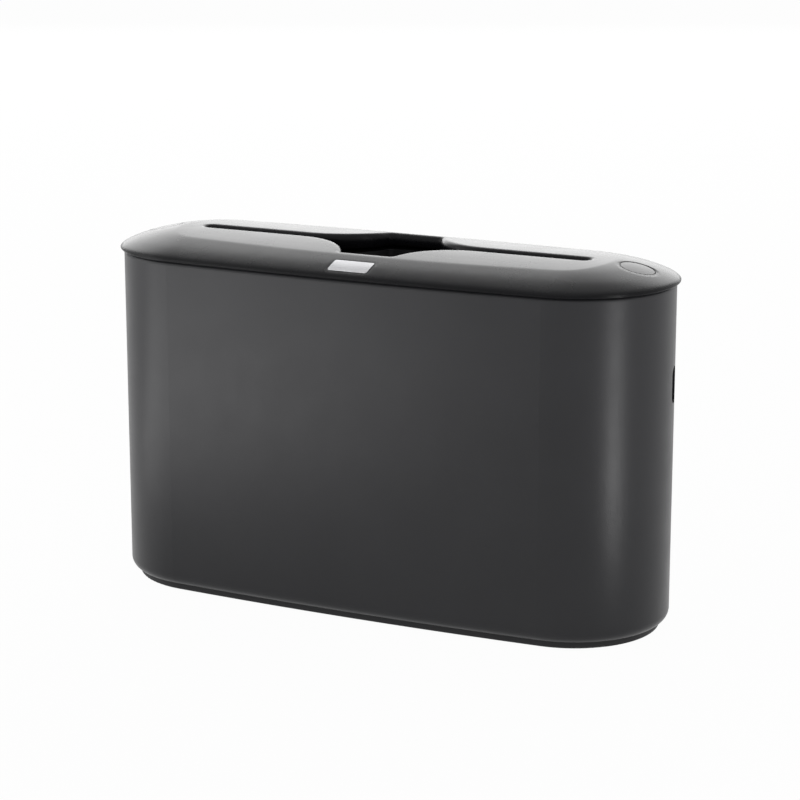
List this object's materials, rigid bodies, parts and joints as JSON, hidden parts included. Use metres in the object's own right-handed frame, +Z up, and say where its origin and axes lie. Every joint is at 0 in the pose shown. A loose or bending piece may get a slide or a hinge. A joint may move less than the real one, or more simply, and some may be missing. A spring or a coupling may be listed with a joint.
{
  "type": "paper towel dispenser",
  "caption": "Countertop dispenser for folded paper towels: oval housing, domed lid with a flared slot, push-button latches and a sprung lift platform.",
  "frame": {"origin": "centre of the footprint, on the surface that the feet stand on", "axes": "+X along the dispenser's long side, -Y out of its front, +Z up"},
  "size_m": [0.323, 0.116, 0.1982],
  "materials": {
    "housing_plastic": "satin",
    "plinth_plastic": "matte",
    "lid_plastic": "gloss",
    "button_plastic": "gloss",
    "inner_plastic": "matte",
    "platform_plastic": "matte",
    "latch_plastic": "satin",
    "badge_metal": "satin",
    "steel": "satin",
    "spring_steel": "satin",
    "rubber": "matte"
  },
  "bodies": {
    "housing": {"body_shell": "housing_plastic", "base_plate": "plinth_plastic", "base_screws": "steel", "rubber_feet": "rubber", "magazine_liner": "inner_plastic", "guide_rod_left": "steel", "guide_rod_right": "steel", "rod_bracket_left": "inner_plastic", "rod_bracket_right": "inner_plastic", "bracket_rivets": "steel", "lift_spring_left": "spring_steel", "lift_spring_right": "spring_steel"},
    "lid": {"lid_shell": "lid_plastic", "throat_frame": "inner_plastic", "throat_frame_screws": "steel", "latch_bracket_left": "inner_plastic", "latch_bracket_right": "inner_plastic", "latch_pin_left": "steel", "latch_pin_right": "steel", "badge_plate": "badge_metal", "button_spring_left": "spring_steel", "button_spring_right": "spring_steel"},
    "platform": {"lift_plate": "platform_plastic"},
    "button_left": {"button_left": "button_plastic"},
    "button_right": {"button_right": "button_plastic"},
    "latch_left": {"latch_left": "latch_plastic"},
    "latch_right": {"latch_right": "latch_plastic"}
  },
  "joints": [
    {"name": "lid_lift", "type": "slide", "parent": "housing", "child": "lid", "axis": [0, 0, 1], "range_m": [0, 0.1]},
    {"name": "platform_lift", "type": "slide", "parent": "housing", "child": "platform", "axis": [0, 0, -1], "range_m": [0, 0.12], "stiffness_N_per_m": 25, "springref_m": -0.15, "deforming": ["lift_spring_left", "lift_spring_right"]},
    {"name": "button_left_press", "type": "slide", "parent": "lid", "child": "button_left", "axis": [0, 0, -1], "range_m": [0, 0.003], "stiffness_N_per_m": 200, "springref_m": -0.002, "deforming": ["button_spring_left"]},
    {"name": "latch_left_turn", "type": "hinge", "parent": "lid", "child": "latch_left", "pos_m": [-0.124, 0, 0.1804], "axis": [0, -1, 0], "range_deg": [0, 11.5]},
    {"name": "button_right_press", "type": "slide", "parent": "lid", "child": "button_right", "axis": [0, 0, -1], "range_m": [0, 0.003], "stiffness_N_per_m": 200, "springref_m": -0.002, "deforming": ["button_spring_right"]},
    {"name": "latch_right_turn", "type": "hinge", "parent": "lid", "child": "latch_right", "pos_m": [0.124, 0, 0.1804], "axis": [0, 1, 0], "range_deg": [0, 11.5]}
  ],
  "couplings": [
    {"joint": "latch_left_turn", "follows": "button_left_press", "rad_per_m": 66.8},
    {"joint": "latch_right_turn", "follows": "button_right_press", "rad_per_m": 66.8}
  ]
}
